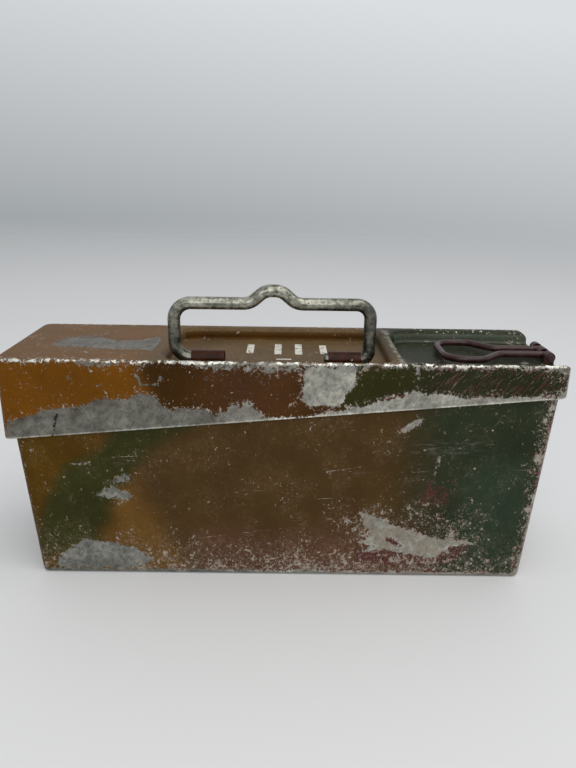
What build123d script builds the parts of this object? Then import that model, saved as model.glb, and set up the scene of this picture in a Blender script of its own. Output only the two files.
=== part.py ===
"""Sheet-metal belt box: a narrow tapered case with an end-hinged lid, a bail handle and a ring latch.

Millimetres. The origin is the middle of the foot, +X runs towards the latch end, +Y towards the rear
and +Z up. The lid is shut, the handle stands upright and the latch ring lies flat in its recess.
"""

import os
from math import atan, cos

from build123d import *

os.makedirs("parts", exist_ok=True)

# Lid
LID_LENGTH = 350.0
LID_WIDTH = 93.0
LID_TOP = 150.0
LID_SHEET = 1.5
LID_CORNER = 6.5  # upright corners
LID_EDGE = 2.0  # pressed outer top edge
LID_END_ROUND = 5.5  # top corners of the two rims at the latch end
SKIRT_LOW = 97.5  # lower edge of the skirt at the hinge end
SKIRT_HIGH = 129.5  # lower edge of the skirt at the latch end

# Recesses pressed into the lid
RECESS_FLOOR = 142.0
RECESS_FRONT = -41.0
RECESS_REAR = 36.0
HANDLE_RECESS_X = (-73.0, 66.0)
HANDLE_RECESS_CORNERS = (13.0, 9.0, 13.0, 13.0)  # front left, front right, rear right, rear left
LATCH_RECESS_X = (75.5, LID_LENGTH / 2 + 10.0)  # runs out through the latch end and past the slab
LATCH_RECESS_CORNERS = (18.0, 0.0, 0.0, 14.0)
LIP_ROUND = 4.7  # rounds the rib between the recesses right over
FLOOR_ROUND = 2.2
SLAB_MARGIN = 9.0  # by which the pressing's slab runs past the lid's ends

# Case
FOOT_HALF = 161.0  # half length at the foot
TAPER = 0.075  # outward lean of the end walls
CASE_WIDTH = 89.2
CASE_TOP = 139.0
CASE_SHEET = 1.2
CASE_CORNER = 5.0
FOOT_SEAM = 3.2  # height of the seam between wall and bottom pan
FOOT_ROUND = 2.8
PAN_LAP = 9.0  # top of the pan's lip, which laps inside the wall

# Hinge, across the left end just under the skirt
HINGE_X = -172.0
HINGE_Z = 94.3
HINGE_HALF = 30.0
HINGE_LEAF = 1.0
PIN_R = 1.3
PIN_BORE_R = 1.35
KNUCKLE_R = 2.35
KNUCKLE_GAP = 0.15  # at each side of a joint between knuckles
CASE_LEAF_Z = (72.0, 93.0)
LID_LEAF_Z = (97.2, 117.0)
CASE_RIVET_Z = 80.0
HINGE_DOUBLER_Z = (73.0, 87.0)
HINGE_DOUBLER_HALF = 28.0
LEAF_LAP = 0.1  # by which the case leaf's curl runs into its flat
PIN_HEAD = 1.0  # length of the pin's heads
PIN_HEAD_R = 1.9
PIN_PLAY = 0.2
LID_RIVET_Z = 108.0
HINGE_RIVET_Y = (-20.0, 0.0, 20.0)

# Handle
HANDLE_ROD_R = 3.9
HANDLE_AXIS_Y = -27.5
HANDLE_AXIS_Z = 147.0
HANDLE_X = (-67.9, 53.2)  # centre lines of the two uprights
HANDLE_RISE = 34.7
HUMP_X = -6.7
HUMP_RISE = 8.0
HUMP_RUN = 9.2
HUMP_HALF_TOP = 5.0
HANDLE_BENDS = (10.3, 10.8, 11.0, 10.5, 10.5, 11.0, 8.8, 5.2)  # from the left foot round to the right foot
FOOT_TIP_X = (-39.0, 25.4)
CLIP_X = ((-57.5, -37.0), (27.9, 48.1))
CLIP_R = 5.0
CLIP_BORE_R = 3.97
CLIP_TAIL = 2.1  # both tails side by side
CLIP_TAIL_REACH = 7.0
BACKING_SHEET = 1.2
BACKING_HALF_WIDTH = 10.0
BACKING_MARGIN = 6.0

# Latch
LATCH_X = 172.9
LATCH_Z = 146.0
WIRE_R = 2.25
BAR_BORE_R = 2.32
STRAND_Y = 6.6
RING_HALF_WIDTH = 21.3
RING_END_X = 104.5
RING_SHOULDER_X = 127.9
NECK_X = 141.9
WIRE_BENDS = [3.2, 10.0, 11.0, 13.0]  # from the cross bar out to the ring's end
BAR_HALF = 15.4
EAR_Y = (13.35, 14.75)
EAR_HEAD_R = 3.3
EAR_LEG_X = (168.9, 173.2)
EAR_PLAY = 0.15
BRACKET_X = (150.0, 172.9)
BRACKET_HALF = 17.0
BRACKET_SHEET = 1.2
BRACKET_RIVETS = ((157.0, -13.0), (157.0, 13.0))
STRAP_SHEET = 0.85
STRAP_HALF = 13.05
CURL_R = WIRE_R + 0.3
CURL_END = 205.0  # degrees, from the strap over the top and down the inner side
STRAP_FOOT_Z = 84.0
STRAP_BEND_Z = (109.0, 125.0)
STRAP_BEND_R = 8.0
SLOT_CLEAR = 0.4
SLOT_FLOOR_Z = 146.7
STRAP_RIVETS = ((-8.0, 99.5), (8.0, 99.5), (0.0, 91.0))
STRAP_CORNER = 4.0
SLOT_REACH = 5.0  # of the slots' cutters, past the curl
SLOT_BACK = (-5.0, -1.0)  # from the cross bar, the part of the curl that is slotted below the bar as well
SLOT_BACK_HALF = 3.0
LATCH_DOUBLER_Z = (85.0, 106.0)
DOUBLER_SHEET = 1.2

RIVET_R = 2.0
RIVET_TAIL_TAPER = 0.3
HOLE_REACH = 8.0
OVERCUT = 5.0  # by which cutters stand clear of what they cut
SLIT_MARGIN = 1.0
ROD_TIP = 0.6
WIRE_TIP = 0.4
FLOOR_UNDER = RECESS_FLOOR - LID_SHEET
LEAN = atan(TAPER)


def wall_x(z):
    """Half length of the case, outside its end walls, at a height."""
    return FOOT_HALF + TAPER * z


def wall_plane(end, y, z, out):
    """Plane on an end wall's outside, moved outwards by a sheet thickness, facing away from the case."""
    return Plane(origin=(end * (wall_x(z) + out), y, z), x_dir=(0, 1, 0), z_dir=(end, 0, -TAPER))


def make_rivet(grip, head_r=3.2, dome=1.2, tail_r=2.8, tail=0.8):
    """Rivet with its domed head on z = 0 and its shank running down through the grip."""
    with BuildPart() as rivet:
        with BuildSketch(Plane.XZ):
            with BuildLine():
                ThreePointArc((0, dome), (0.62 * head_r, 0.72 * dome), (head_r, 0))
                Polyline((head_r, 0), (RIVET_R, 0), (RIVET_R, -grip), (tail_r, -grip),
                         (tail_r - RIVET_TAIL_TAPER, -grip - tail), (0, -grip - tail), (0, dome))
            make_face()
        revolve(axis=Axis.Z)
    return rivet.part


def finish(made, name):
    """Label a piece and write its file."""
    made.part.label = name
    export_step(made.part, f"parts/{name}.step")
    print(f"{name}: {made.part.volume:.0f} mm3, {len(made.part.solids())} solid(s)")


# ---- case ----
hinge_case_rivets_at = [wall_plane(-1, y, CASE_RIVET_Z, HINGE_LEAF) for y in HINGE_RIVET_Y]
strap_rivets_at = [wall_plane(1, y, z, STRAP_SHEET / cos(LEAN)) for y, z in STRAP_RIVETS]


def case_tube(low, high, inset, mode=Mode.ADD):
    """Tapered tube or plug between two heights, inset from the case's outside."""
    sections = []
    for z in (low, high):
        with BuildSketch(Plane.XY.offset(z)) as section:
            RectangleRounded(2 * (wall_x(z) - inset), CASE_WIDTH - 2 * inset, CASE_CORNER - inset)
        sections.append(section.sketch)
    loft(sections, ruled=True, mode=mode)


def rivet_holes(planes):
    """Holes for rivets that pass right through the sheets at some planes."""
    with BuildSketch(*planes) as holes:
        Circle(RIVET_R)
    extrude(holes.sketch, amount=HOLE_REACH, both=True, mode=Mode.SUBTRACT)


with BuildPart() as body_shell:
    case_tube(FOOT_SEAM, CASE_TOP, 0)
    case_tube(FOOT_SEAM, CASE_TOP, CASE_SHEET, Mode.SUBTRACT)
    rivet_holes(hinge_case_rivets_at + strap_rivets_at)
finish(body_shell, "body_shell")

with BuildPart() as bottom_pan:
    case_tube(0, FOOT_SEAM, 0)
    fillet(bottom_pan.edges().group_by(Axis.Z)[0], radius=FOOT_ROUND)
    case_tube(FOOT_SEAM, PAN_LAP, CASE_SHEET)
    case_tube(CASE_SHEET, PAN_LAP, 2 * CASE_SHEET, Mode.SUBTRACT)
finish(bottom_pan, "bottom_pan")


def end_plate(end, z_range, half_width, inner, outer):
    """Flat plate lying along an end wall, between two distances out from the wall's outside."""
    low, high = z_range
    with BuildSketch(Plane.XZ) as side:
        with BuildLine():
            Polyline((end * (wall_x(low) + inner), low), (end * (wall_x(low) + outer), low),
                     (end * (wall_x(high) + outer), high), (end * (wall_x(high) + inner), high), close=True)
        make_face()
    extrude(side.sketch, amount=half_width, both=True)


with BuildPart() as hinge_doubler:
    end_plate(-1, HINGE_DOUBLER_Z, HINGE_DOUBLER_HALF, -CASE_SHEET - DOUBLER_SHEET, -CASE_SHEET)
    rivet_holes(hinge_case_rivets_at)
finish(hinge_doubler, "hinge_doubler")

with BuildPart() as latch_doubler:
    end_plate(1, LATCH_DOUBLER_Z, STRAP_HALF, -CASE_SHEET - DOUBLER_SHEET, -CASE_SHEET)
    rivet_holes(strap_rivets_at)
finish(latch_doubler, "latch_doubler")


# ---- hinge ----
knuckle_joints = [HINGE_HALF * k / 5 for k in (-5, -3, -1, 1, 3, 5)]
knuckle_spans = list(zip(knuckle_joints[:-1], knuckle_joints[1:]))


def bar_along_y(x, z, radius, y_from, y_to, mode=Mode.ADD):
    """Round bar parallel to Y."""
    with BuildSketch(Plane.XZ.offset(-y_to)) as section:
        with Locations((x, z)):
            Circle(radius)
    extrude(section.sketch, amount=y_to - y_from, mode=mode)


def block(x_range, y_range, z_range, mode=Mode.ADD):
    """Rectangular block between three pairs of limits."""
    (x0, x1), (y0, y1), (z0, z1) = x_range, y_range, z_range
    with Locations(((x0 + x1) / 2, (y0 + y1) / 2, (z0 + z1) / 2)):
        Box(x1 - x0, y1 - y0, z1 - z0, mode=mode)


with BuildPart() as hinge_leaf_case:
    end_plate(-1, CASE_LEAF_Z, HINGE_HALF, 0, HINGE_LEAF)
    for start, stop in knuckle_spans[::2]:
        bar_along_y(HINGE_X, HINGE_Z, KNUCKLE_R, start, stop)
        curl_bottom = HINGE_Z - KNUCKLE_R
        block((HINGE_X, -wall_x(HINGE_Z) - LEAF_LAP), (start, stop), (curl_bottom, curl_bottom + HINGE_LEAF))
    bar_along_y(HINGE_X, HINGE_Z, PIN_BORE_R, -HINGE_HALF, HINGE_HALF, Mode.SUBTRACT)
    rivet_holes(hinge_case_rivets_at)
finish(hinge_leaf_case, "hinge_leaf_case")

lid_end = LID_LENGTH / 2
leaf_back = -lid_end + LID_SHEET
hinge_lid_rivets_at = [Location((-lid_end, y, LID_RIVET_Z), (0, -90, 0)) for y in HINGE_RIVET_Y]
with BuildPart() as hinge_leaf_lid:
    block((leaf_back, leaf_back + HINGE_LEAF), (-HINGE_HALF, HINGE_HALF), LID_LEAF_Z)
    for start, stop in knuckle_spans[1::2]:
        span = (start + KNUCKLE_GAP, stop - KNUCKLE_GAP)
        bar_along_y(HINGE_X, HINGE_Z, KNUCKLE_R, *span)
        block((leaf_back, leaf_back + HINGE_LEAF), span, (HINGE_Z + PIN_BORE_R, LID_LEAF_Z[0]))
    bar_along_y(HINGE_X, HINGE_Z, PIN_BORE_R, -HINGE_HALF, HINGE_HALF, Mode.SUBTRACT)
    with Locations(*hinge_lid_rivets_at):
        Cylinder(RIVET_R, HOLE_REACH, mode=Mode.SUBTRACT)
finish(hinge_leaf_lid, "hinge_leaf_lid")

with BuildPart() as hinge_pin:
    pin_half = HINGE_HALF + PIN_PLAY
    bar_along_y(HINGE_X, HINGE_Z, PIN_R, -pin_half, pin_half)
    for y_from in (-pin_half - PIN_HEAD, pin_half):
        bar_along_y(HINGE_X, HINGE_Z, PIN_HEAD_R, y_from, y_from + PIN_HEAD)
finish(hinge_pin, "hinge_pin")

case_rivet = make_rivet((HINGE_LEAF + CASE_SHEET + DOUBLER_SHEET) * cos(LEAN))
with BuildPart() as hinge_rivets_case:
    with Locations(*hinge_case_rivets_at):
        add(case_rivet)
finish(hinge_rivets_case, "hinge_rivets_case")

lid_rivet = make_rivet(LID_SHEET + HINGE_LEAF, dome=0.9, tail=0.7)
with BuildPart() as hinge_rivets_lid:
    with Locations(*hinge_lid_rivets_at):
        add(lid_rivet)
finish(hinge_rivets_lid, "hinge_rivets_lid")


# ---- lid ----
def recess(x_range, corners, grow, floor, mode):
    """Upright plug with a recess's outline, grown outwards, from its floor to above the lid."""
    (x0, x1), (y0, y1) = x_range, (RECESS_FRONT, RECESS_REAR)
    with BuildSketch(Plane.XY.offset(floor)) as plan:
        with BuildLine():
            FilletPolyline((x0 - grow, y0 - grow), (x1 + grow, y0 - grow), (x1 + grow, y1 + grow),
                           (x0 - grow, y1 + grow), radius=[r + grow if r else 0 for r in corners], close=True)
        make_face()
    extrude(plan.sketch, amount=LID_TOP + OVERCUT - floor, mode=mode)


recesses = ((HANDLE_RECESS_X, HANDLE_RECESS_CORNERS), (LATCH_RECESS_X, LATCH_RECESS_CORNERS))

bracket_rivets_at = [Location((x, y, RECESS_FLOOR)) for x, y in BRACKET_RIVETS]
tail_span = (HANDLE_AXIS_Y - CLIP_TAIL / 2, HANDLE_AXIS_Y + CLIP_TAIL / 2)
slit_z = (FLOOR_UNDER - SLIT_MARGIN, RECESS_FLOOR + SLIT_MARGIN)

def pressing(sheet, lip, foot):
    """Wide slab with both recesses pressed into it; with a sheet's thickness, the underside of that pressing."""
    with BuildPart() as slab:
        slab_half = lid_end + SLAB_MARGIN
        block((-slab_half, slab_half), (-LID_WIDTH, LID_WIDTH), (0, LID_TOP - sheet))
        for x_range, corners in recesses:
            recess(x_range, corners, sheet, RECESS_FLOOR - sheet, Mode.SUBTRACT)
        for z, radius in ((LID_TOP - sheet, lip), (RECESS_FLOOR - sheet, foot)):
            rims = slab.edges().filter_by_position(Axis.Z, z, z)
            rims = rims.filter_by_position(Axis.Y, -LID_WIDTH / 2, LID_WIDTH / 2)
            fillet(rims.filter_by_position(Axis.X, -lid_end, slab_half - SLIT_MARGIN), radius=radius)
    return slab.part


with BuildPart() as lid_cavity:
    with BuildSketch(Plane.XY.offset(SKIRT_LOW - OVERCUT)):
        RectangleRounded(LID_LENGTH - 2 * LID_SHEET, LID_WIDTH - 2 * LID_SHEET, LID_CORNER - LID_SHEET)
    extrude(amount=LID_TOP - SKIRT_LOW + OVERCUT)
    add(pressing(LID_SHEET, LIP_ROUND - LID_SHEET, FLOOR_ROUND + LID_SHEET), mode=Mode.INTERSECT)

with BuildPart() as lid_shell:
    with BuildSketch(Plane.XY.offset(SKIRT_LOW)):
        RectangleRounded(LID_LENGTH, LID_WIDTH, LID_CORNER)
    extrude(amount=LID_TOP - SKIRT_LOW)
    fillet(lid_shell.edges().group_by(Axis.Z)[-1], radius=LID_EDGE)
    with BuildSketch(Plane.XZ):
        with BuildLine():
            FilletPolyline((-lid_end - 1, SKIRT_LOW - (SKIRT_HIGH - SKIRT_LOW) / LID_LENGTH),
                           (lid_end, SKIRT_HIGH), (lid_end, LID_TOP), (-lid_end - 1, LID_TOP),
                           radius=[0, 0, LID_END_ROUND, 0], close=True)
        make_face()
    extrude(amount=LID_WIDTH, both=True, mode=Mode.INTERSECT)
    add(pressing(0, LIP_ROUND, FLOOR_ROUND), mode=Mode.INTERSECT)
    add(lid_cavity.part, mode=Mode.SUBTRACT)
    for x0, x1 in CLIP_X:
        block((x0, x1), tail_span, slit_z, Mode.SUBTRACT)
    for side in (-1, 1):
        leg_y = sorted(side * y for y in (EAR_Y[0] - EAR_PLAY, EAR_Y[1] + EAR_PLAY))
        leg_x = (EAR_LEG_X[0] - EAR_PLAY, EAR_LEG_X[1] + EAR_PLAY)
        block(leg_x, leg_y, slit_z, Mode.SUBTRACT)
    with Locations(*bracket_rivets_at):
        Cylinder(RIVET_R, HOLE_REACH, mode=Mode.SUBTRACT)
    with Locations(*hinge_lid_rivets_at):
        Cylinder(RIVET_R, HOLE_REACH, mode=Mode.SUBTRACT)
finish(lid_shell, "lid_shell")


# ---- handle ----
def bar_along_x(y, z, radius, x_from, x_to, mode=Mode.ADD):
    """Round bar parallel to X."""
    with BuildSketch(Plane.YZ.offset(x_from)) as section:
        with Locations((y, z)):
            Circle(radius)
    extrude(section.sketch, amount=x_to - x_from, mode=mode)


backing_z = (FLOOR_UNDER - BACKING_SHEET, FLOOR_UNDER)
for side, (x0, x1) in zip(("left", "right"), CLIP_X):
    with BuildPart() as handle_clip:
        bar_along_x(HANDLE_AXIS_Y, HANDLE_AXIS_Z, CLIP_R, x0, x1)
        block((x0, x1), tail_span, (backing_z[0] - CLIP_TAIL / 2, HANDLE_AXIS_Z - CLIP_BORE_R))
        tail_foot = (HANDLE_AXIS_Y - CLIP_TAIL_REACH, HANDLE_AXIS_Y + CLIP_TAIL_REACH)
        block((x0, x1), tail_foot, (backing_z[0] - CLIP_TAIL / 2, backing_z[0]))
        bar_along_x(HANDLE_AXIS_Y, HANDLE_AXIS_Z, CLIP_BORE_R, x0, x1, Mode.SUBTRACT)
    finish(handle_clip, f"handle_clip_{side}")

    with BuildPart() as backing_plate:
        plate_y = (HANDLE_AXIS_Y - BACKING_HALF_WIDTH, HANDLE_AXIS_Y + BACKING_HALF_WIDTH)
        block((x0 - BACKING_MARGIN, x1 + BACKING_MARGIN), plate_y, backing_z)
        block((x0, x1), tail_span, (backing_z[0] - SLIT_MARGIN, backing_z[1] + SLIT_MARGIN), Mode.SUBTRACT)
    finish(backing_plate, f"clip_backing_{side}")

bar_z = HANDLE_AXIS_Z + HANDLE_RISE
with BuildPart() as carry_handle:
    with BuildLine(Plane.XZ.offset(-HANDLE_AXIS_Y)) as rod_line:
        FilletPolyline(
            (FOOT_TIP_X[0], HANDLE_AXIS_Z), (HANDLE_X[0], HANDLE_AXIS_Z), (HANDLE_X[0], bar_z),
            (HUMP_X - HUMP_HALF_TOP - HUMP_RUN, bar_z), (HUMP_X - HUMP_HALF_TOP, bar_z + HUMP_RISE),
            (HUMP_X + HUMP_HALF_TOP, bar_z + HUMP_RISE), (HUMP_X + HUMP_HALF_TOP + HUMP_RUN, bar_z),
            (HANDLE_X[1], bar_z), (HANDLE_X[1], HANDLE_AXIS_Z), (FOOT_TIP_X[1], HANDLE_AXIS_Z),
            radius=HANDLE_BENDS)
    with BuildSketch(Plane(origin=rod_line.line @ 0, z_dir=rod_line.line % 0)):
        Circle(HANDLE_ROD_R)
    sweep(path=rod_line.line)
    chamfer(carry_handle.faces().filter_by(GeomType.PLANE).edges(), length=ROD_TIP)
finish(carry_handle, "carry_handle")


# ---- latch ----
with BuildPart() as latch_bracket:
    block(BRACKET_X, (-BRACKET_HALF, BRACKET_HALF), (FLOOR_UNDER - BRACKET_SHEET, FLOOR_UNDER))
    for side in (-1, 1):
        ear_y = sorted(side * y for y in EAR_Y)
        block(EAR_LEG_X, ear_y, (FLOOR_UNDER - BRACKET_SHEET, LATCH_Z))
        bar_along_y(LATCH_X, LATCH_Z, EAR_HEAD_R, *ear_y)
    bar_along_y(LATCH_X, LATCH_Z, BAR_BORE_R, -BRACKET_HALF, BRACKET_HALF, Mode.SUBTRACT)
    with Locations(*bracket_rivets_at):
        Cylinder(RIVET_R, HOLE_REACH, mode=Mode.SUBTRACT)
finish(latch_bracket, "latch_bracket")

with BuildPart() as latch_bracket_rivets:
    with Locations(*bracket_rivets_at):
        add(make_rivet(LID_SHEET + BRACKET_SHEET, dome=0.6, tail=0.6))
finish(latch_bracket_rivets, "latch_bracket_rivets")

with BuildPart() as latch_lever:
    with BuildLine(Plane.XY.offset(LATCH_Z)) as wire_line:
        half = [(LATCH_X, BAR_HALF), (LATCH_X, STRAND_Y), (NECK_X, STRAND_Y),
                (RING_SHOULDER_X, RING_HALF_WIDTH), (RING_END_X, RING_HALF_WIDTH)]
        FilletPolyline(*half, *[(x, -y) for x, y in reversed(half)], radius=WIRE_BENDS + WIRE_BENDS[::-1])
    with BuildSketch(Plane(origin=wire_line.line @ 0, z_dir=wire_line.line % 0)):
        Circle(WIRE_R)
    sweep(path=wire_line.line)
    chamfer(latch_lever.faces().filter_by(GeomType.PLANE).edges(), length=WIRE_TIP)
finish(latch_lever, "latch_lever")

strap_x = LATCH_X + CURL_R
with BuildPart() as latch_strap:
    with BuildSketch(Plane.XZ):
        with BuildLine():
            FilletPolyline((wall_x(STRAP_FOOT_Z), STRAP_FOOT_Z), (wall_x(STRAP_BEND_Z[0]), STRAP_BEND_Z[0]),
                           (strap_x, STRAP_BEND_Z[1]), (strap_x, LATCH_Z), radius=STRAP_BEND_R)
            CenterArc((LATCH_X, LATCH_Z), CURL_R, 0, CURL_END)
            offset(amount=STRAP_SHEET, side=Side.RIGHT)
        make_face()
    extrude(amount=STRAP_HALF, both=True)
    fillet(latch_strap.edges().filter_by(Axis.X, tolerance=10).group_by(Axis.Z)[0], radius=STRAP_CORNER)
    for side in (-1, 1):
        slot_y = sorted(side * (STRAND_Y + across) for across in (-WIRE_R - SLOT_CLEAR, WIRE_R + SLOT_CLEAR))
        over_bar = (LATCH_X - SLOT_REACH, LATCH_X + SLOT_REACH)
        block(over_bar, slot_y, (SLOT_FLOOR_Z, LATCH_Z + SLOT_REACH), Mode.SUBTRACT)
        behind_bar = tuple(LATCH_X + reach for reach in SLOT_BACK)
        block(behind_bar, slot_y, (LATCH_Z - SLOT_BACK_HALF, LATCH_Z + SLOT_BACK_HALF), Mode.SUBTRACT)
    rivet_holes(strap_rivets_at)
finish(latch_strap, "latch_strap")

strap_rivet = make_rivet(STRAP_SHEET + (CASE_SHEET + DOUBLER_SHEET) * cos(LEAN))
with BuildPart() as latch_strap_rivets:
    with Locations(*strap_rivets_at):
        add(strap_rivet)
finish(latch_strap_rivets, "latch_strap_rivets")
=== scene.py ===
"""Looks of the belt box: worn camouflage on aluminium, primed fittings and a bare steel handle.

The materials work in millimetres on the object: x runs along the box towards the latch, y towards
the rear and z up, from the middle of the foot. Paint and wear are placed by those coordinates, so
they stay on their pieces. The object's shape is the CAD's, and nothing is added to it.
"""

import math

import bpy
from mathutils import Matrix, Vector

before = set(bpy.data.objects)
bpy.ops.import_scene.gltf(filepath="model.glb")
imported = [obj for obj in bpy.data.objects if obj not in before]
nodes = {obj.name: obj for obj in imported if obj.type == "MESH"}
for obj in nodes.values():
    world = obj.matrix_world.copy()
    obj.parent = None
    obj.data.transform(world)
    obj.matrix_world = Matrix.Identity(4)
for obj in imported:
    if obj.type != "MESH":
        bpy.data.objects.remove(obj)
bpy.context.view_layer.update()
scene = bpy.context.scene
MM = 0.001  # metres
ELSEWHERE = 30.0  # depth in millimetres taken off a mark where it doesn't belong
COVERED = 20.0  # the same on the inner faces, which aren't worn
PAINT_GLOSS = 0.085


# ---------------------------------------------------------- shader graphs written as arithmetic
class Wire:
    """One output of a shader node; arithmetic on it adds Math nodes to its graph."""

    def __init__(self, graph, socket):
        self.graph, self.socket = graph, socket

    def __add__(self, other):
        return self.graph.math("ADD", self, other)

    __radd__ = __add__

    def __sub__(self, other):
        return self.graph.math("SUBTRACT", self, other)

    def __rsub__(self, other):
        return self.graph.math("SUBTRACT", other, self)

    def __mul__(self, other):
        return self.graph.math("MULTIPLY", self, other)

    def __neg__(self):
        return self * -1.0

    def __abs__(self):
        return self.graph.math("ABSOLUTE", self)


class Nodes:
    """A node tree, with one short call for each kind of node that the looks use."""

    def __init__(self, tree):
        self.tree = tree

    def put(self, socket, value):
        """Link a wire to an input, or set the input's own value; colours are three numbers."""
        if isinstance(value, Wire):
            self.tree.links.new(value.socket, socket)
        elif socket.type == "RGBA":
            socket.default_value = (*value, 1.0)
        else:
            socket.default_value = value

    def node(self, kind, inputs=(), out=0, **settings):
        """Add a node, fill its inputs, and give one of its outputs."""
        made = self.tree.nodes.new(kind)
        for name, value in settings.items():
            setattr(made, name, value)
        for name, value in dict(inputs).items():
            self.put(made.inputs[name], value)
        return Wire(self, made.outputs[out])

    def math(self, operation, *values, clamp=False):
        """A Math node."""
        return self.node("ShaderNodeMath", dict(enumerate(values)), operation=operation,
                         use_clamp=clamp)

    def vmath(self, operation, *values):
        """A Vector Math node that gives a vector."""
        return self.node("ShaderNodeVectorMath", dict(enumerate(values)), operation=operation)

    def length(self, vector):
        """A vector's length."""
        return self.node("ShaderNodeVectorMath", {0: vector}, out=1, operation="LENGTH")

    def scaled(self, vector, factor):
        """A vector or colour times a number."""
        return self.node("ShaderNodeVectorMath", {0: vector, "Scale": factor}, operation="SCALE")

    def split(self, vector):
        """A vector's three numbers."""
        made = self.tree.nodes.new("ShaderNodeSeparateXYZ")
        self.put(made.inputs[0], vector)
        return [Wire(self, s) for s in made.outputs]

    def vector(self, x, y, z=0.0):
        """A vector from its numbers."""
        return self.node("ShaderNodeCombineXYZ", {0: x, 1: y, 2: z})

    def low(self, first, *others):
        """The lowest value: of depths, inside every one."""
        for other in others:
            first = self.math("MINIMUM", first, other)
        return first

    def high(self, first, *others):
        """The highest value: of depths, inside any one."""
        for other in others:
            first = self.math("MAXIMUM", first, other)
        return first

    def rise(self, value, start, end):
        """0 before start and 1 past end, with a smooth step between; start may be the larger."""
        return self.node("ShaderNodeMapRange", {"Value": value, "From Min": start, "From Max": end},
                         interpolation_type="SMOOTHSTEP")

    def share(self, value, start, end):
        """0 before start and 1 past end, in proportion between."""
        return self.node("ShaderNodeMapRange", {"Value": value, "From Min": start, "From Max": end})

    def noise(self, vector, size, detail=2.0, roughness=0.5, out=0):
        """Noise from 0 to 1 about 0.5, with features of a size in the vector's unit."""
        inputs = {"Vector": vector, "Scale": 1.0 / size, "Detail": detail, "Roughness": roughness}
        return self.node("ShaderNodeTexNoise", inputs, out=out)

    def around(self, vector, size, reach, detail=2.0):
        """A vector moved about by noise of a size, by up to about a third of reach."""
        moved = self.vmath("SUBTRACT", self.noise(vector, size, detail, out=1), (0.5, 0.5, 0.5))
        return self.vmath("ADD", vector, self.scaled(moved, reach))

    def blotches(self, vector, size, start, end, detail=4.0, roughness=0.7):
        """Blotches from 0 to 1, where noise of a size passes from start to end."""
        return self.rise(self.noise(vector, size, detail, roughness), start, end)

    def dots(self, vector, cell, share, radius):
        """How deep a point is inside scattered dots: one to a cell, of which a share are there."""
        made = self.tree.nodes.new("ShaderNodeTexVoronoi")
        self.put(made.inputs["Vector"], vector)
        made.inputs["Scale"].default_value = 1.0 / cell
        distance = Wire(self, made.outputs["Distance"]) * cell
        there, size, _ = self.split(Wire(self, made.outputs["Color"]))
        depth = (size * 0.75 + 0.25) * radius - distance
        present = self.math("LESS_THAN", there, share)
        return depth * present - (1.0 - present) * ELSEWHERE

    def mix(self, factor, a, b):
        """Colour a where the factor is 0, and b where it is 1."""
        made = self.tree.nodes.new("ShaderNodeMix")
        made.data_type = "RGBA"
        self.put(made.inputs["Factor"], factor)
        for socket, value in zip([s for s in made.inputs if s.type == "RGBA"], (a, b)):
            self.put(socket, value)
        return Wire(self, [s for s in made.outputs if s.type == "RGBA"][0])

    def outline(self, across, up, points):
        """How deep a point is inside a patch, from rows of (place, lower edge, upper edge)."""
        start, end = points[0][0], points[-1][0]
        heights = [h for point in points for h in point[1:]]
        base, top = min(heights), max(heights)
        height = top - base
        made = self.tree.nodes.new("ShaderNodeValToRGB")
        self.put(made.inputs[0], self.share(across, start, end))
        stops = made.color_ramp.elements
        while len(stops) < len(points):
            stops.new(0.5)
        # All places first: a stop that moves can change the stops' order
        for stop, (place, _, _) in zip(stops, points):
            stop.position = (place - start) / (end - start)
        for stop, (_, lower, upper) in zip(stops, points):
            stop.color = ((lower - base) / height, (upper - base) / height, 0.0, 1.0)
        lower, upper, _ = self.split(Wire(self, made.outputs[0]))
        return self.low(up - (lower * height + base), (upper * height + base) - up,
                        across - start, end - across)

    def outlines(self, across, up, *patches):
        """How deep a point is inside any of several patches."""
        return self.high(*[self.outline(across, up, points) for points in patches])

    def stroke(self, flat, start, end, half_width):
        """How deep a point is inside a straight mark between two places."""
        run = Vector((*end, 0.0)) - Vector((*start, 0.0))
        from_start = self.vmath("SUBTRACT", flat, (*start, 0.0))
        reached = self.node("ShaderNodeVectorMath", {0: from_start, 1: tuple(run)}, out=1,
                            operation="DOT_PRODUCT")
        along = self.math("MULTIPLY", reached, 1.0 / run.length_squared, clamp=True)
        away = self.length(self.vmath("SUBTRACT", from_start, self.scaled(tuple(run), along)))
        return half_width - away

    def strokes(self, flat, marks):
        """How deep a point is inside any of several straight marks."""
        return self.high(*[self.stroke(flat, *mark) for mark in marks])

    def streaks(self, across, up, degrees, length, width, cut):
        """Thin marks at a slope, where noise stretched along it rises above the cut."""
        c, s = math.cos(math.radians(degrees)), math.sin(math.radians(degrees))
        along = (across * c + up * s) * (1.0 / length)
        side = (up * c - across * s) * (1.0 / width)
        return self.rise(self.noise(self.vector(along, side), 1.0, 1.0), cut, cut + 0.05)


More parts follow.
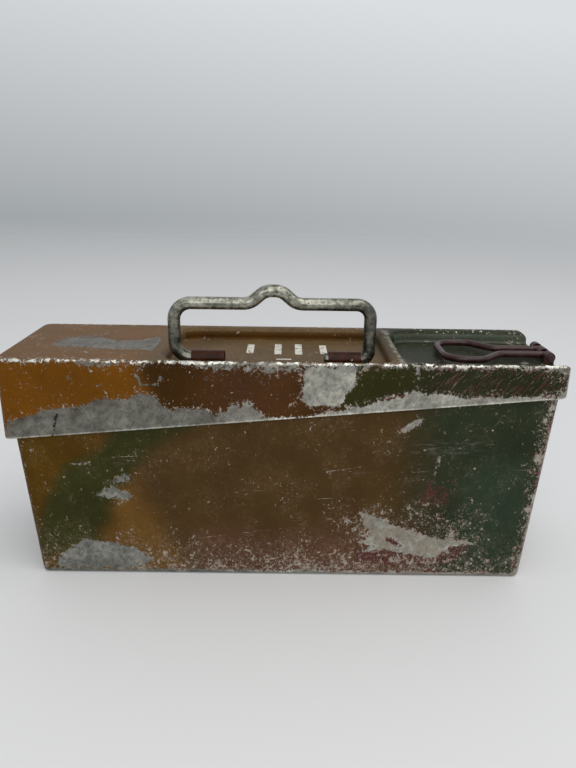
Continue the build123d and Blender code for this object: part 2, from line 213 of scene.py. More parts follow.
class Graph(Nodes):
    """A material's node tree, with the point in millimetres and the surface's normal."""

    def __init__(self, name):
        self.material = bpy.data.materials.new(name)
        self.material.use_nodes = True
        super().__init__(self.material.node_tree)
        self.tree.nodes.clear()
        self.output = self.tree.nodes.new("ShaderNodeOutputMaterial")
        place = self.tree.nodes.new("ShaderNodeTexCoord")
        self.metres = Wire(self, place.outputs["Object"])
        self.normal = self.split(Wire(self, place.outputs["Normal"]))
        self.point = self.scaled(self.metres, 1.0 / MM)
        self.x, self.y, self.z = self.split(self.point)

    def ragged_point(self):
        """The point moved about, so that outlines drawn with it come out ragged."""
        return self.around(self.around(self.point, 6.0, 6.0, 4.0), 1.5, 3.6, 3.0)

    def bump(self, height):
        """Relief from a height in millimetres."""
        return self.node("ShaderNodeBump", {"Height": height, "Strength": 1.0, "Distance": MM})

    def principled(self, inputs):
        """A Principled shader."""
        return self.node("ShaderNodeBsdfPrincipled", inputs)

    def finish(self, shader):
        """Use a shader as the material's surface, and give the material."""
        self.put(self.output.inputs["Surface"], shader)
        return self.material


# ---------------------------------------------------------- colours
LID_OCHRE = (0.1152, 0.0404, 0)
LID_BROWN = (0.037, 0.0142, 0)
LID_RED_BROWN = (0.059, 0.0228, 0.0060)
LID_OLIVE = (0.0218, 0.021, 0.0025)
LID_GREEN = (0.0172, 0.0189, 0.0062)
TOP_TAN = (0.1080, 0.0520, 0.0150)
TOP_BROWN = (0.0930, 0.0560, 0.0220)
TOP_GREEN = (0.0165, 0.0210, 0.0100)
WALL_BROWN_SHADE = (0.058, 0.0232, 0.0014)
WALL_GREEN_LIT = (0.0558, 0.0648, 0.045)
CASE_OCHRE = (0.0654, 0.031, 0)
CASE_ORANGE = (0.116, 0.056, 0.010)
CASE_RED = (0.094, 0.038, 0.026)
CASE_BROWN = (0.0558, 0.0292, 0.0072)
CASE_OLIVE = (0.0273, 0.0273, 0.0044)
CASE_GREEN = (0.018, 0.0246, 0.0107)
CASE_TEAL = (0.0213, 0.0336, 0.0189)
PRIMER = (0.100, 0.028, 0.024)
PRIMER_DARK = (0.052, 0.018, 0.015)
FLAKE = (0.265, 0.190, 0.148)
FLAKE_GREY = (0.34, 0.31, 0.265)
WHITE = (0.62, 0.60, 0.53)
WHITE_WORN = (0.34, 0.30, 0.23)
DUST = (0.26, 0.20, 0.14)
HAZE = (0.22, 0.22, 0.20)
INSIDE = (0.105, 0.112, 0.090)
INSIDE_DARK = (0.060, 0.062, 0.050)
GRIME = (0.022, 0.018, 0.014)
BARE_LIGHT = (0.58, 0.575, 0.48)
BARE_DARK = (0.24, 0.24, 0.225)
BARE_SCRATCHED = (0.74, 0.73, 0.67)
BARE_PITTED = (0.13, 0.125, 0.11)
CREST_WORN_HIGHLIGHT = (0.26, 0.25, 0.20)
HANDLE_STEEL = (0.056, 0.056, 0.045), (0.186, 0.183, 0.150)
RIVET_STEEL = (0.15, 0.13, 0.10), (0.38, 0.36, 0.32)
RUST = (0.060, 0.045, 0.028)
RUST_PIT = (0.030, 0.022, 0.016)
OLD_PAINT = (0.15, 0.16, 0.10), (0.36, 0.37, 0.29)
LATCH_PRIMER = (0.033, 0.0112, 0.0085)
STRAP_PRIMER = (0.032, 0.0120, 0.0090)
CLIP_PRIMER = (0.036, 0.0110, 0.0048)
HINGE_PRIMER = (0.170, 0.085, 0.020)
UNDER_PRIMER = (0.36, 0.35, 0.33)
FLOOR_COOL = (0.625, 0.622, 0.618)
FLOOR_WARM = (0.635, 0.630, 0.620)
FLOOR_SPECK = (0.45, 0.40, 0.34)
SKY_LOW = (0.385, 0.41, 0.42)
SKY_HIGH = (0.76, 0.78, 0.81)

# ---------------------------------------------------------- places on the lid, in millimetres
# Patches are rows of (x, lower edge, upper edge), marks are (start, end, half width)
LID_HALF_X, LID_HALF_Y, LID_TOP = 175.0, 46.5, 150.0
SKIRT_LOW, SKIRT_RISE = 97.5, 32.0 / 350.0
SKIRT_LEFT_BARE = (
    (-171, 96, 106), (-169, 96, 108), (-155, 96, 114.5), (-137, 96, 118.7), (-122, 96, 121),
    (-113, 96, 124.5), (-105, 96, 125), (-97, 96, 124.5), (-88, 96, 129.5), (-80, 96, 128),
    (-72.5, 96, 120), (-68, 96, 118.7), (-60, 96, 120), (-47, 96, 119), (-43, 96, 114.5),
    (-35, 96, 118), (-31.5, 96, 123.7), (-26, 96, 121), (-21, 96, 124.5), (-17, 96, 120),
    (-13, 96, 113))
SKIRT_RIGHT_BARE = (
    (14, 100, 114), (34, 100, 119.5), (60, 100, 126), (71, 100, 129), (80, 100, 132.4),
    (87.5, 100, 130.6), (96, 100, 131.6), (106, 100, 129.8), (118, 100, 129.5), (130, 100, 130),
    (143, 100, 128.9), (156, 100, 130), (166, 100, 130.5), (175, 100, 130.5))
LID_PATCH = (
    (12, 126, 144), (14, 123.8, 146), (18, 123, 147), (30, 123, 147), (35, 122, 147),
    (37.5, 127, 147), (41, 134, 147), (44.5, 140, 146))
TOP_EDGE_WORN = (
    (-127, 147.5, 152), (-118, 145.6, 152), (-106, 146, 152), (-97, 148, 152), (-60, 148.4, 152),
    (-47, 147, 152), (-40, 145, 152), (-14, 144.8, 152), (-9, 142.5, 152), (-2, 144.5, 152),
    (8, 144, 152), (30, 145, 152), (46, 145, 152), (60, 147.6, 152), (80, 147.8, 152),
    (80.8, 138, 152), (81.6, 138, 152), (82.4, 147, 152), (100, 147.2, 152), (130, 148, 152),
    (160, 146.5, 152), (175, 144, 152))
TOP_PATCH = (
    (-151, -17.5, -8), (-146, -18, 9), (-131, -18.7, 12.5), (-126, -19, 8), (-118, -20, 3.5),
    (-110, -21, -1.5), (-104, -21, 1), (-95, -21.5, 2), (-86, -22, 11.5), (-82.5, -22.5, 6))
LID_MARKS = (
    ((-89.0, 141.5), (-86.0, 134.7), 0.75), ((-86.0, 134.7), (-77.0, 135.2), 0.55),
    ((-74.2, 139.0), (-73.8, 139.2), 1.1), ((-113.0, 133.5), (-110.0, 134.8), 0.5),
    ((-171.0, 103.0), (-168.5, 109.0), 1.3))
LID_CRACKS = (
    ((-139.0, 114.5), (-141.6, 106.5), 0.60), ((-142.2, 104.5), (-143.4, 100.8), 0.55),
    ((166.0, 129.5), (168.2, 133.0), 0.45))
RIDGE_X = 72.0
WHITE_BARS = (-23.0, 22.0), (-4.0, 26.0), (10.0, 26.0), (27.0, 22.0)  # middle in x, length in y
BARS_Y, BAR_HALF_WIDTH = 12.5, 2.4
DASH_Y, DASH_HALF_LENGTH, DASH_HALF_WIDTH = -12.0, 5.0, 1.1

# ---------------------------------------------------------- places on the case
CASE_HALF_Y = 44.6
CASE_FOOT_HALF_X, CASE_LEAN = 161.0, 0.075
CASE_OVAL = (
    (-151, 5.5, 6.5), (-145, 4.2, 15), (-137, 4, 22), (-127, 4, 25.5), (-112, 4, 23.5),
    (-98, 4.5, 19.5), (-86, 11, 13))
CASE_PATCH = (
    (-120, 58.5, 59), (-115, 56.5, 62.5), (-109, 55.5, 65), (-103, 55, 62.5), (-97, 58, 59))
CASE_STREAKS = (-110, 66, 67), (-105, 67.5, 72), (-100, 69.5, 74), (-97, 73, 73.6)
SPEARHEAD = (
    (50, 46.5, 48.8), (54, 41, 48.2), (58, 34, 46.5), (61, 26, 45), (66, 21.5, 43.5),
    (72, 20.5, 39), (80, 18, 37.2), (88, 16, 34), (95, 14.8, 31.5), (101, 14.6, 30),
    (107, 18, 29.2), (112, 24, 28.8), (122, 24.6, 28), (129, 26, 27))
UPPER_BARB = (51, 26.5, 27), (57, 24, 29.5), (63, 22, 32)
LOWER_BARB = (54, 18.2, 19), (60, 18.8, 23.5), (67, 21, 27)
STAIN = (
    (50, 11, 18), (58, 10, 21), (72, 10, 27), (90, 9.5, 21), (104, 10, 22), (114, 13, 27),
    (122, 17, 25))
BLUSH = (90, 58, 60), (96, 54, 66), (102, 54, 67), (108, 58, 62)
GASH = (75.5, 106.3), (84.5, 112.6), 1.85
RED_SPOT = (71.0, 27.5), (78.0, 24.5), 1.7
RED_CRACK = (97.2, 76.0), (93.0, 57.0), 0.55
CASE_MARKS = ((-134.0, 80.5), (-124.0, 80.8), 0.28), ((99.5, 89.0), (97.2, 76.0), 0.45)
CASE_DOTS = (
    ((122.5, 80.7), (122.6, 80.8), 0.8), ((89.4, 93.0), (90.2, 93.1), 0.5),
    ((131.0, 107.0), (131.2, 107.1), 0.6))
CASE_HAIRLINES = (
    ((-108.0, 85.5), (-92.0, 86.5), 0.20), ((22.0, 57.6), (33.0, 58.4), 0.2),
    ((-55.0, 27.5), (1.5, 36.0), 0.06), ((29.0, 77.4), (50.0, 80.8), 0.18))


# ---------------------------------------------------------- masks and wear that the paints share
def facing_front(g, half_y):
    """1 on the outside of the front wall, 0 elsewhere."""
    _, ny, _ = g.normal
    return g.rise(-ny, 0.35, 0.75) * g.rise(-g.y, half_y - 6.0, half_y - 3.0)


def facing_in(g, place, normal):
    """1 where a wall faces the box's middle along one axis, 0 elsewhere."""
    return g.rise(g.math("SIGN", place) * normal, -0.3, -0.6)


def near(g, a, b):
    """Distance to an edge, from the distances to its two faces."""
    return g.length(g.vector(a, b))


def flakes(g, size, rarity, density):
    """Depth of small irregular flakes of missing paint, fewer where density is low."""
    shape = g.noise(g.around(g.point, size * 0.5, size * 0.8), size, 3.0, 0.72)
    return (shape - (rarity - density * 0.10)) * size * 2.6


def chips(g, density):
    """Scattered flakes of three sizes, thicker where density is high."""
    return g.high(flakes(g, 5.0, 0.708, density), flakes(g, 2.3, 0.700, density),
                  flakes(g, 1.0, 0.715, density))


def worn_corner(g, width, edge_x, edge_y, radius):
    """Depth of the wear on the upright corners, wider at the latch end."""
    latch_end = g.rise(g.x, -60.0, 60.0) * 0.8 + 0.2
    return width * latch_end - near(g, g.high(edge_x - radius, 0.0), g.high(edge_y - radius, 0.0))


def primer_border(g, bare, latch_end, most):
    """Depth of the ragged primer border round bare metal, wider at the latch end."""
    width = g.blotches(g.point, 12.0, 0.42, 0.60, 3.0, 0.5) * (latch_end * most + 0.15) * 1.6
    return bare + width - 0.35


def finish_paint(g, colour, bare, flake, primer, inside, lightness, dust, tarnish,
                 white=0.0, dark=0.0, haze=0.0):
    """Surface of worn paint.

    bare, flake and primer are depths in millimetres, positive where that layer shows. inside (the
    inner faces), dust, tarnish, white, dark and haze go from 0 to 1. lightness is the bare metal's.
    """
    fine = g.noise(g.point, 0.55, 3.0, 0.6)
    cloud = g.noise(g.point, 34.0, 4.0, 0.6)
    grain = g.noise(g.point, 2.4, 3.0, 0.6)

    # Where each layer shows
    covered = inside * COVERED
    ragged = g.noise(g.vector(g.x, g.y, g.z * 0.6), 1.6, 5.0, 0.78)
    edge = (fine - 0.5) * 1.2 + (ragged - 0.5) * 7.5
    bare = bare - covered + edge
    is_primer = g.rise(primer - covered + edge, -0.15, 0.15)
    is_bare = g.rise(bare, -0.12, 0.16)
    is_flake = g.rise(flake - covered, -0.10, 0.14)

    # Paint
    shade = (cloud - 0.5) * 0.9 + (grain - 0.5) * 0.35 + 1.0
    colour = g.scaled(colour, shade)
    colour = g.mix(g.rise(grain, 0.38, 0.82) * dust, colour, DUST)
    colour = g.mix(haze, colour, HAZE)
    colour = g.mix(inside, colour, g.mix(g.rise(grain, 0.4, 0.7) * 0.5, INSIDE, INSIDE_DARK))

    # Bare aluminium: mottled, brushed, pitted, and scraped bright round a patch's rim
    mottle = g.blotches(g.around(g.point, 3.0, 4.0), 3.4, 0.34, 0.66, 6.0, 0.74)
    patchy = g.noise(g.point, 13.0, 3.0, 0.6)
    brushed = g.streaks(g.x, g.z + g.y, 62.0, 7.0, 0.45, 0.54)
    rim = g.rise(bare, 1.3, 0.1) * g.blotches(g.point, 6.0, 0.38, 0.60, 2.0, 0.5)
    metal = g.mix(mottle * 0.92 + 0.04, BARE_DARK, BARE_LIGHT)
    metal = g.mix(brushed * 0.35, metal, BARE_SCRATCHED)
    metal = g.mix(g.rise(fine, 0.56, 0.72) * 0.5, metal, BARE_PITTED)
    metal = g.mix(rim * 0.55, metal, BARE_SCRATCHED)
    metal = g.scaled(metal, lightness * (patchy * 2.1 - 0.05))
    metal = g.mix(tarnish, metal, DUST)

    # The layers over each other
    shown = g.mix(is_primer, colour, g.mix(g.rise(grain, 0.35, 0.7), PRIMER, PRIMER_DARK))
    shown = g.mix(is_flake * 0.88, shown, g.mix(g.rise(grain, 0.4, 0.6), FLAKE, FLAKE_GREY))
    shown = g.mix(is_bare, shown, metal)
    shown = g.mix(white, shown, g.mix(g.rise(fine, 0.42, 0.66) * 0.7, WHITE, WHITE_WORN))
    shown = g.mix(dark, shown, GRIME)

    roughness = 0.50 + (grain - 0.5) * 0.22 + (cloud - 0.5) * 0.12 - is_bare * (mottle * 0.10)
    texture = (fine - 0.5) * 0.020 + (grain - 0.5) * 0.030 + (cloud - 0.5) * 0.35
    height = texture - g.high(is_bare, is_flake) * 0.09 - is_primer * 0.04 - dark * 0.15
    metallic = is_bare * (1.0 - white) * (1.0 - dark) * 0.55
    return g.finish(g.principled({"Base Color": shown, "Metallic": metallic, "Roughness": roughness,
                                  "Specular IOR Level": PAINT_GLOSS, "Normal": g.bump(height)}))


def lid_paint():
    """The lid's camouflage, its recesses' colours, its wear and the white bars."""
    g = Graph("lid_camouflage")
    nx, ny, nz = g.normal
    front = facing_front(g, LID_HALF_Y)
    top = g.rise(nz, 0.35, 0.8)
    on_front = (front - 1.0) * ELSEWHERE
    on_top = (top - 1.0) * ELSEWHERE
    rough = g.ragged_point()
    rx, ry, rz = g.split(rough)
    sx, _, _ = g.split(g.around(g.point, 26.0, 26.0, 2.0))
    flat = g.vector(g.x, g.z)

    # Camouflage: ochre, brown, then green towards the latch
    colour = g.mix(g.rise(sx - (LID_TOP - g.z) * 0.25, -94.0, -80.0), LID_OCHRE, LID_BROWN)
    colour = g.mix(g.rise(abs(sx + 18.0), 46.0, 14.0) * 0.85, colour, LID_RED_BROWN)
    colour = g.mix(g.rise(sx + (g.z - 125.0) * 0.35, 28.0, 42.0), colour, LID_OLIVE)
    colour = g.mix(g.rise(sx, 62.0, 100.0), colour, LID_GREEN)

    # The top and its recesses: tan and brown, green past the ridge between the recesses
    latch_side = g.rise(rx + g.y * 0.075, 61.0, 76.0)
    above = g.mix(g.rise(sx, -96.0, -74.0), TOP_TAN, TOP_BROWN)
    above = g.mix(latch_side, above, TOP_GREEN)
    # The recesses' rear walls: painted shade on the brown wall, and painted light on the green wall
    rear_wall_shade_light = g.rise(-ny, 0.30, 0.65) * g.rise(g.y, 29.0, 32.0) * g.rise(g.z, 148.6, 147.4)
    above = g.mix(rear_wall_shade_light, above, g.mix(latch_side, WALL_BROWN_SHADE, WALL_GREEN_LIT))
    # A painted highlight along the ridge's crest, where its paint is also worn
    crest_wear_highlight = g.rise(abs(rx - RIDGE_X), 3.0, 0.6) * g.rise(g.z, 147.0, 149.4)
    crest_wear_highlight = crest_wear_highlight * g.blotches(g.point, 5.0, 0.42, 0.60, 4.0, 0.5)
    above = g.mix(crest_wear_highlight * 0.6, above, CREST_WORN_HIGHLIGHT)
    colour = g.mix(g.high(top, g.rise(abs(g.y), 45.0, 40.0)), colour, above)

    # Worn edges: the top's, with a painted highlight line along it, the upright corners' and the
    # skirt's hem
    edge_x, edge_y, edge_z = LID_HALF_X - abs(rx), LID_HALF_Y - abs(ry), LID_TOP - rz
    wear = g.blotches(g.point, 20.0, 0.34, 0.68)
    top_y = (wear * 1.9 + 0.1) - near(g, edge_y, edge_z) - g.blotches(rough, 4.0, 0.52, 0.40) * 1.4
    top_x = (wear * 1.5 + 0.1) - near(g, edge_x, edge_z)
    # A painted highlight line along the top edge, on metal worn bare there
    edge_wear_highlight = (1.45 + g.rise(g.x, 10.0, -50.0) * 0.40 - near(g, edge_y, edge_z)
             - g.blotches(rough, 5.0, 0.56, 0.44) * 1.4)
    corner = worn_corner(g, wear * 2.2 + 0.4, edge_x, edge_y, 1.5)
    skirt = g.z - (g.x + LID_HALF_X) * SKIRT_RISE - SKIRT_LOW
    hem = (wear * 1.1 + 0.7) - skirt - (ry - g.y) * 0.5

    # Bare patches and marks at the photo's places, and scattered chips
    remnants = g.blotches(rough, 2.6, 0.53, 0.42)
    worn_edge = g.outline(rx, rz, TOP_EDGE_WORN) - remnants * 5.0
    patches = g.outlines(rx, rz, SKIRT_LEFT_BARE, SKIRT_RIGHT_BARE, LID_PATCH)
    patches = g.high(patches, worn_edge) + on_front
    top_patch = g.outline(rx, ry, TOP_PATCH) - remnants * g.rise(g.x, -118.0, -134.0) * 6.0 + on_top
    marks = g.strokes(flat, LID_MARKS) + (rx - g.x) * 0.25 + on_front
    clusters = g.blotches(g.point, 24.0, 0.40, 0.62, 4.0, 0.65)
    near_bare = g.rise(g.high(patches, top_y), -6.0, -0.3)
    latch_corners = g.rise(g.x, 150.0, 172.0) * (g.rise(abs(g.y), 20.0, 44.0) * 0.65 + 0.25)
    density = (clusters * 0.50 + near_bare * 0.85 + top * g.rise(g.x, -80.0, -130.0) * 0.35
               + latch_corners)
    bare = g.high(top_y, edge_wear_highlight, top_x, corner, hem, patches, top_patch, marks,
                  flakes(g, 7.0, 0.76, density))

    # Primer in thin borders and slanting scratches; near the latch some scratches cut deeper
    slants = g.streaks(g.x, g.z, 58.0, 14.0, 1.0, 0.60) * g.rise(g.x, 70.0, 100.0)
    faint = g.streaks(g.x, g.z, 57.0, 12.0, 1.2, 0.62) * g.rise(abs(g.x + 24.0), 34.0, 12.0)
    primer = g.high(primer_border(g, bare, g.rise(g.x, -70.0, 70.0), 0.8),
                    (slants + faint * 0.7) * front * 3.0 - 2.0)
    cuts = g.high(g.streaks(g.x, g.z, 38.0, 11.0, 0.34, 0.68),
                  g.streaks(g.x, g.z, 58.0, 16.0, 0.30, 0.69))
    flake = g.high(chips(g, density), cuts * g.rise(g.x, 60.0, 110.0) * front * 2.0 - 1.2)
    dark = g.rise(g.strokes(flat, LID_CRACKS) + (rx - g.x) * 0.80, -0.2, 0.3) * front

    # Plain white bars and a dash on the recess floor, and white flecks on the latch recess's rim
    bars = g.high(*[g.low(BAR_HALF_WIDTH - abs(g.x - middle), length * 0.5 - abs(g.y - BARS_Y))
                    for middle, length in WHITE_BARS])
    dash = g.low(DASH_HALF_LENGTH - abs(g.x), DASH_HALF_WIDTH - abs(g.y - DASH_Y))
    chipped = g.blotches(g.point, 2.2, 0.36, 0.44, 3.0, 0.6)
    painted = g.rise(g.high(bars, dash) + (g.noise(g.point, 1.0, 2.0) - 0.5) * 0.6, -0.1, 0.15)
    painted = painted * chipped * g.rise(g.z, 143.4, 142.6) * top
    on_rim = g.low(g.rise(g.x, 92.0, 96.0), g.rise(g.x, 152.0, 148.0),
                   g.rise(g.y, 35.0, 36.0), g.rise(g.y, 43.0, 41.0))
    flecks = g.blotches(g.around(g.point, 1.2, 2.0), 3.0, 0.60, 0.63, 3.0) * on_rim * top

    inside = g.high(facing_in(g, g.y, ny) * g.rise(abs(g.y), 44.0, 44.4),
                    facing_in(g, g.x, nx) * g.rise(abs(g.x), 172.2, 172.8),
                    g.rise(nz, -0.3, -0.6) * g.rise(g.z, 132.0, 135.0))
    # Bare metal lightened: polished wear with a painted highlight along the top edge, the painted
    # highlight line, and lighter at the skirt's lower edge
    polish_highlight = g.blotches(g.point, 4.5, 0.36, 0.58)
    highlit_wear = g.high(g.rise(top_y, -0.4, 0.9) * polish_highlight * 0.75, g.rise(edge_wear_highlight, -0.3, 0.4) * 1.05,
                    g.rise(skirt, 1.4, 0.4) * 0.40)
    lightness = g.rise(g.x, -50.0, 0.0) * 0.34 + 0.27 + highlit_wear
    dust = top * (g.rise(g.x, 90.0, 50.0) * 0.10 + 0.08)
    return finish_paint(g, colour, bare, flake, primer, inside, lightness, dust, 0.10,
                        white=g.high(painted, flecks), dark=dark)


def case_paint():
    """The case's camouflage and its wear, thickest at the foot and the latch end."""
    g = Graph("case_camouflage")
    nx, ny, nz = g.normal
    front = facing_front(g, CASE_HALF_Y)
    on_front = (front - 1.0) * ELSEWHERE
    rough = g.ragged_point()
    rx, ry, rz = g.split(rough)
    sx, _, sz = g.split(g.around(g.point, 30.0, 26.0, 2.0))
    flat = g.vector(g.x, g.z)

    # Camouflage: an ochre end, a curved green band, brown, and green at the latch end
    colour = g.mix(g.rise(sx, -126.0, -104.0), CASE_OCHRE, CASE_ORANGE)
    colour = g.mix(g.rise(sx + (sz - 40.0) * 0.5, -96.0, -72.0), colour, CASE_BROWN)
    above_foot = sz - 20.0
    band = abs(sx + 142.0 - above_foot * above_foot * 0.0080)
    colour = g.mix(g.rise(band, 30.0, 13.0) * g.rise(sz, 4.0, 20.0), colour, CASE_OLIVE)
    colour = g.mix(g.rise(sx, 58.0, 110.0), colour, CASE_GREEN)
    teal = g.rise(abs(sx - 138.0), 30.0, 8.0) * g.rise(sz, 96.0, 74.0)
    colour = g.mix(teal * 0.85, colour, CASE_TEAL)

    # Red shining through: one rubbed spot, and the brown's lower part
    blush = g.rise(g.outline(rx, rz, BLUSH), -5.0, 3.0) * g.blotches(g.point, 1.8, 0.40, 0.62)
    colour = g.mix(blush * front * 0.75, colour, PRIMER)
    reddened = g.rise(sz, 50.0, 12.0) * g.rise(sx, -76.0, -40.0) * g.rise(sx, 114.0, 84.0)
    colour = g.mix(reddened * 0.50, colour, CASE_RED)

    # Worn edges: the upright corners and the foot's hem
    edge_x = CASE_FOOT_HALF_X - (abs(rx) - rz * CASE_LEAN)
    edge_y = CASE_HALF_Y - abs(ry)
    wear = g.blotches(g.point, 20.0, 0.34, 0.68)
    corner = worn_corner(g, wear * 1.6 + 0.3, edge_x, edge_y, 1.2)
    hem = 3.2 + (rz - g.z) * 0.8 - g.z

    # Bare patches, marks and hairlines at the photo's places
    remnants = g.blotches(rough, 2.6, 0.50, 0.38)
    scuffs = g.outlines(rx, rz, CASE_PATCH, CASE_STREAKS) - remnants * 2.5
    spear = g.outlines(rx, rz, SPEARHEAD, UPPER_BARB, LOWER_BARB)
    patches = g.high(g.outline(rx, rz, CASE_OVAL), scuffs, g.stroke(flat, *GASH), spear) + on_front
    marks = g.strokes(flat, CASE_MARKS) + (rx - g.x) * 0.35 + on_front
    dots = g.strokes(flat, CASE_DOTS) + on_front
    thin = g.strokes(flat, CASE_HAIRLINES) + (g.noise(g.point, 3.0, 2.0) - 0.55) + on_front
    hair = g.high(g.streaks(g.x, g.z, 4.0, 38.0, 0.42, 0.70),
                  g.streaks(g.x, g.z, -66.0, 22.0, 0.40, 0.715),
                  g.streaks(g.x, g.z, 52.0, 16.0, 0.40, 0.72))

    # Chips thicken towards the foot, the lower right and the right corner
    clusters = g.blotches(g.point, 17.0, 0.40, 0.62, 4.0, 0.65)
    low_down = g.rise(g.z, 40.0, 4.0) * (1.0 - g.rise(g.x, 106.0, 130.0) * front * 0.28)
    lower_right = g.rise(g.x, 10.0, 60.0) * g.rise(g.z, 66.0, 38.0) * g.rise(g.x, 152.0, 108.0)
    near_sides = g.rise(abs(g.y), 20.0, 43.0)
    latch_end = g.rise(g.x, 0.0, 1.0)
    right_edge = g.rise(edge_x, 15.0, 4.0) * latch_end * (near_sides * 0.85 + 0.15)
    left_foot = g.rise(g.x, -138.0, -150.0) * g.rise(g.z, 30.0, 14.0)
    near_bare = g.rise(g.high(patches, corner), -6.0, -0.5) * 0.6
    density = clusters * 0.50 + g.high(low_down * 1.05, lower_right * 0.90, right_edge * 1.1,
                                       left_foot, near_bare)
    scored = hair * g.rise(clusters, 0.0, 0.6) * (g.rise(g.x, -90.0, 10.0) * 0.4 + 0.6)
    flake = g.high(chips(g, density), scored * 1.6 - 1.35, thin, dots)
    red_spot = g.stroke(flat, *RED_SPOT) + (rx - g.x) * 0.9 + on_front
    bare = g.low(g.high(corner, hem, patches, marks, flakes(g, 7.0, 0.79, density)), -red_spot)

    # Primer in borders, in a crack and a spot, and in specks below the spearhead and at the corner
    red_crack = g.stroke(flat, *RED_CRACK) + (rx - g.x) * 0.3 + on_front
    rubbed = g.rise(g.outline(rx, rz, STAIN), -4.0, 1.5)
    rubbed = rubbed + g.rise(edge_x, 6.0, 2.0) * latch_end * near_sides
    specks = (g.noise(rough, 2.4, 4.0, 0.7) - 0.72 + rubbed * 0.26 + (front - 1.0)) * 8.0
    primer = g.high(primer_border(g, bare, g.rise(g.x, -60.0, 50.0), 0.9),
                    red_crack, red_spot, specks)

    # A pale rubbed strip below the lid at the latch end
    strip = g.low(g.rise(g.x, 76.0, 92.0), g.rise(g.x, 132.0, 118.0),
                  g.rise(g.z, 88.0, 93.0), g.rise(g.z, 101.0, 97.0))
    haze = g.blotches(g.vector(g.x * 0.30, g.z), 2.5, 0.46, 0.70) * strip * 0.28 * front

    inside = g.high(facing_in(g, g.y, ny), facing_in(g, g.x, nx),
                    g.rise(nz, 0.3, 0.6) * g.rise(g.z, 12.0, 9.0))
    lightness = g.rise(g.x, -70.0, 20.0) * 0.24 + 0.41
    dust = low_down * 0.35 + clusters * 0.08
    tarnish = g.rise(g.x, 30.0, 50.0) * g.blotches(g.point, 9.0, 0.30, 0.62, 3.0, 0.5) * 0.55
    return finish_paint(g, colour, bare, flake, primer, inside, lightness, dust, tarnish, haze=haze)


# ---------------------------------------------------------- fittings
def bare_steel(name, dark, light, pitting):
    """Old forged steel: mottled grey with dark pits and scraps of old paint."""
    g = Graph(name)
    rough = g.around(g.point, 2.6, 3.0, 3.0)
    tone = g.blotches(rough, 4.0, 0.34, 0.66, 4.0, 0.65)
    fine = g.noise(g.point, 0.6, 3.0, 0.6)

    # Lighter on the handle's left run and its hump: rubbed steel with a painted highlight on top;
    # darker towards the latch
    run = g.rise(g.z, 163.0, 176.0) * g.rise(g.x, 40.0, 10.0) * 0.75
    polish_highlight = run + g.rise(g.z, 179.0, 186.0) * 0.45
    darker_to_latch = g.rise(g.x, 22.0, 46.0) * 0.24
    colour = g.scaled(g.mix(tone, dark, light), polish_highlight + 1.0 - darker_to_latch)

    pits = g.dots(g.around(g.point, 1.2, 1.6), 2.4, pitting, 0.8)
    pitted = g.rise(pits + (fine - 0.5) * 0.5, -0.1, 0.2)
    stained = g.blotches(rough, 6.0, 0.56, 0.62) * 0.8
    scraps = g.blotches(g.around(g.point, 1.6, 2.6), 6.0, 0.60, 0.63, 4.0, 0.66) * 0.5
    scraps = scraps * (g.rise(g.x, 0.0, 18.0) * 0.75 + 0.25)
    cloud = g.blotches(g.point, 9.0, 0.50, 0.62, 3.0, 0.6)
    colour = g.mix(stained * 0.45, colour, RUST)
    colour = g.mix(scraps, colour, g.mix(cloud, *OLD_PAINT))
    colour = g.mix(pitted, colour, RUST_PIT)

    roughness = 0.24 + tone * 0.10 + stained * 0.2 + pitted * 0.3
    height = (fine - 0.5) * 0.04 + tone * 0.03 - pitted * 0.18 + scraps * 0.05
    metallic = (1.0 - scraps) * (1.0 - pitted) * (1.0 - stained * 0.5) * 0.92
    return g.finish(g.principled({"Base Color": colour, "Metallic": metallic,
                                  "Roughness": roughness, "Normal": g.bump(height)}))


def primed(name, colour, worn_share, gloss):
    """Red-brown primer on steel, slightly glossy, worn through in places."""
    g = Graph(name)
    tone = g.noise(g.point, 5.0, 4.0, 0.6)
    fine = g.noise(g.point, 0.5, 3.0, 0.6)
    shadow, light = tuple(c * 0.62 for c in colour), tuple(c * 1.3 for c in colour)
    worn = g.dots(g.around(g.point, 1.4, 2.4), 4.2, worn_share, 1.2)
    is_worn = g.rise(worn + (fine - 0.5) * 0.8, -0.1, 0.15)
    shown = g.mix(is_worn, g.mix(g.rise(tone, 0.35, 0.65), shadow, light), UNDER_PRIMER)
    roughness = 0.34 + (tone - 0.5) * 0.25 + is_worn * 0.05
    height = (fine - 0.5) * 0.025 + (tone - 0.5) * 0.05 - is_worn * 0.06
    return g.finish(g.principled({"Base Color": shown, "Metallic": is_worn * 0.7,
                                  "Roughness": roughness, "Specular IOR Level": gloss,
                                  "Normal": g.bump(height)}))


def dull_aluminium():
    """Unpainted sheet of the plates inside the box."""
    g = Graph("dull_aluminium")
    tone = g.blotches(g.point, 6.0, 0.34, 0.66, 4.0, 0.65)
    fine = g.noise(g.point, 0.5, 3.0, 0.6)
    height = (fine - 0.5) * 0.02 + tone * 0.03
    return g.finish(g.principled({"Base Color": g.mix(tone, BARE_DARK, BARE_LIGHT), "Metallic": 0.7,
                                  "Roughness": 0.42 + tone * 0.1, "Normal": g.bump(height)}))


def dress(material, *names):
    """Give CAD nodes a material in place of their own."""
    for name in names:
        nodes[name].data.materials.clear()
        nodes[name].data.materials.append(material)


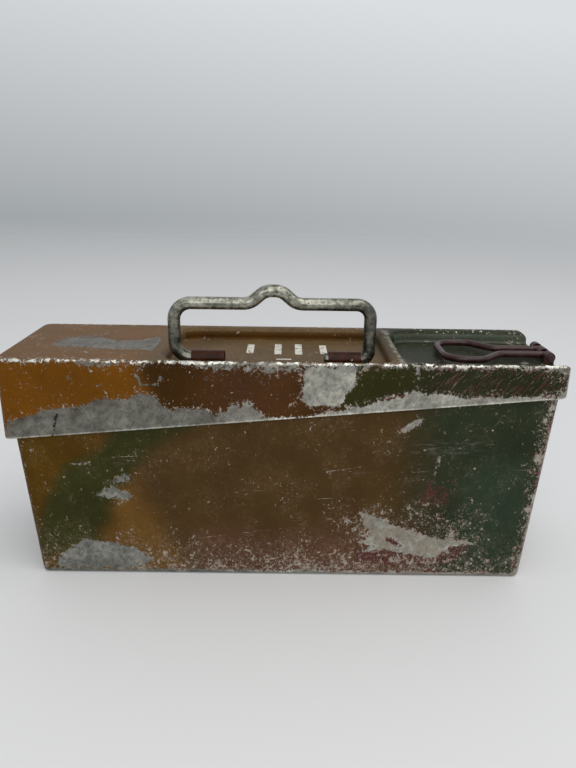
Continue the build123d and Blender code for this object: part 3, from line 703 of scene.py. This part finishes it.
dress(case_paint(), "body_shell", "bottom_pan")
dress(lid_paint(), "lid_shell")
dress(bare_steel("handle_steel", *HANDLE_STEEL, 0.22), "carry_handle")
dress(primed("latch_primer", LATCH_PRIMER, 0.05, 0.33), "latch_lever", "latch_bracket")
dress(primed("strap_primer", STRAP_PRIMER, 0.10, 0.22), "latch_strap")
dress(primed("clip_primer", CLIP_PRIMER, 0.12, 0.11), "handle_clip_left", "handle_clip_right")
dress(primed("hinge_primer", HINGE_PRIMER, 0.22, 0.20), "hinge_leaf_case", "hinge_leaf_lid")
dress(bare_steel("rivet_steel", *RIVET_STEEL, 0.2), "hinge_rivets_case", "hinge_rivets_lid",
      "hinge_pin", "latch_strap_rivets", "latch_bracket_rivets")
dress(dull_aluminium(), "hinge_doubler", "latch_doubler", "clip_backing_left",
      "clip_backing_right")


# ---------------------------------------------------------- floor, surroundings, lights and camera
FLOOR_HALF = 6.0  # metres
FLOOR_FADE = 0.6, 3.4  # metres from the middle


def floor_material():
    """Pale matt floor that fades out far away, so that no edge shows against the background."""
    g = Graph("floor")
    x, y, _ = g.split(g.metres)
    colour = g.mix(g.blotches(g.metres, 0.9, 0.3, 0.7, 2.0, 0.5), FLOOR_COOL, FLOOR_WARM)
    speck = g.blotches(g.metres, 0.004, 0.70, 0.80, 2.0, 0.5) * 0.10
    matt = g.principled({"Base Color": g.mix(speck, colour, FLOOR_SPECK), "Roughness": 0.55,
                         "Specular IOR Level": 0.30})
    clear = g.node("ShaderNodeBsdfTransparent")
    fade = g.rise(g.length(g.vector(x, y)), *FLOOR_FADE)
    return g.finish(g.node("ShaderNodeMixShader", {0: fade, 1: matt, 2: clear}))


def add_floor():
    """A square floor under the box."""
    corners = [(x * FLOOR_HALF, y * FLOOR_HALF, 0) for x, y in ((-1, -1), (1, -1), (1, 1), (-1, 1))]
    mesh = bpy.data.meshes.new("floor")
    mesh.from_pydata(corners, [], [(0, 1, 2, 3)])
    mesh.materials.append(floor_material())
    floor = bpy.data.objects.new("floor", mesh)
    scene.collection.objects.link(floor)


def add_surroundings():
    """Plain pale surroundings, darker low down and to the left."""
    world = bpy.data.worlds.new("studio")
    world.use_nodes = True
    scene.world = world
    g = Nodes(world.node_tree)
    x, _, z = g.split(g.node("ShaderNodeTexCoord", out="Generated"))
    height = g.math("MULTIPLY_ADD", x, 0.13, z)
    sky = world.node_tree.nodes["Background"]
    g.put(sky.inputs["Color"], g.mix(g.share(height, -0.12, 0.22), SKY_LOW, SKY_HIGH))
    g.put(sky.inputs["Strength"], 0.93)


def area_light(name, place, aim, size, power, tint):
    """A rectangular light at a place, aimed at a point, in metres and watts."""
    data = bpy.data.lights.new(name, "AREA")
    data.shape = "RECTANGLE"
    data.size, data.size_y = size
    data.energy = power
    data.color = tint
    light = bpy.data.objects.new(name, data)
    light.location = place
    light.rotation_euler = (Vector(aim) - Vector(place)).to_track_quat("-Z", "Y").to_euler()
    scene.collection.objects.link(light)


def add_camera():
    """The camera that was fitted to the photograph."""
    data = bpy.data.cameras.new("camera")
    data.sensor_width = 36.0
    data.lens = 30.304
    camera = bpy.data.objects.new("camera", data)
    camera.location = (0.00134, -0.41736, 0.26168)
    camera.rotation_euler = tuple(math.radians(a) for a in (71.356, -0.784, 0.024))
    scene.collection.objects.link(camera)
    scene.camera = camera


add_floor()
add_surroundings()
area_light("overhead", (0.50, -0.45, 1.55), (0.0, 0.0, 0.05), (1.6, 1.2), 12.5, (1.0, 0.99, 0.97))
area_light("front_fill", (-0.1, -1.5, 0.9), (0.0, 0.0, 0.07), (1.2, 0.9), 7.0, (0.98, 0.99, 1.0))
add_camera()
scene.view_settings.view_transform = "Standard"
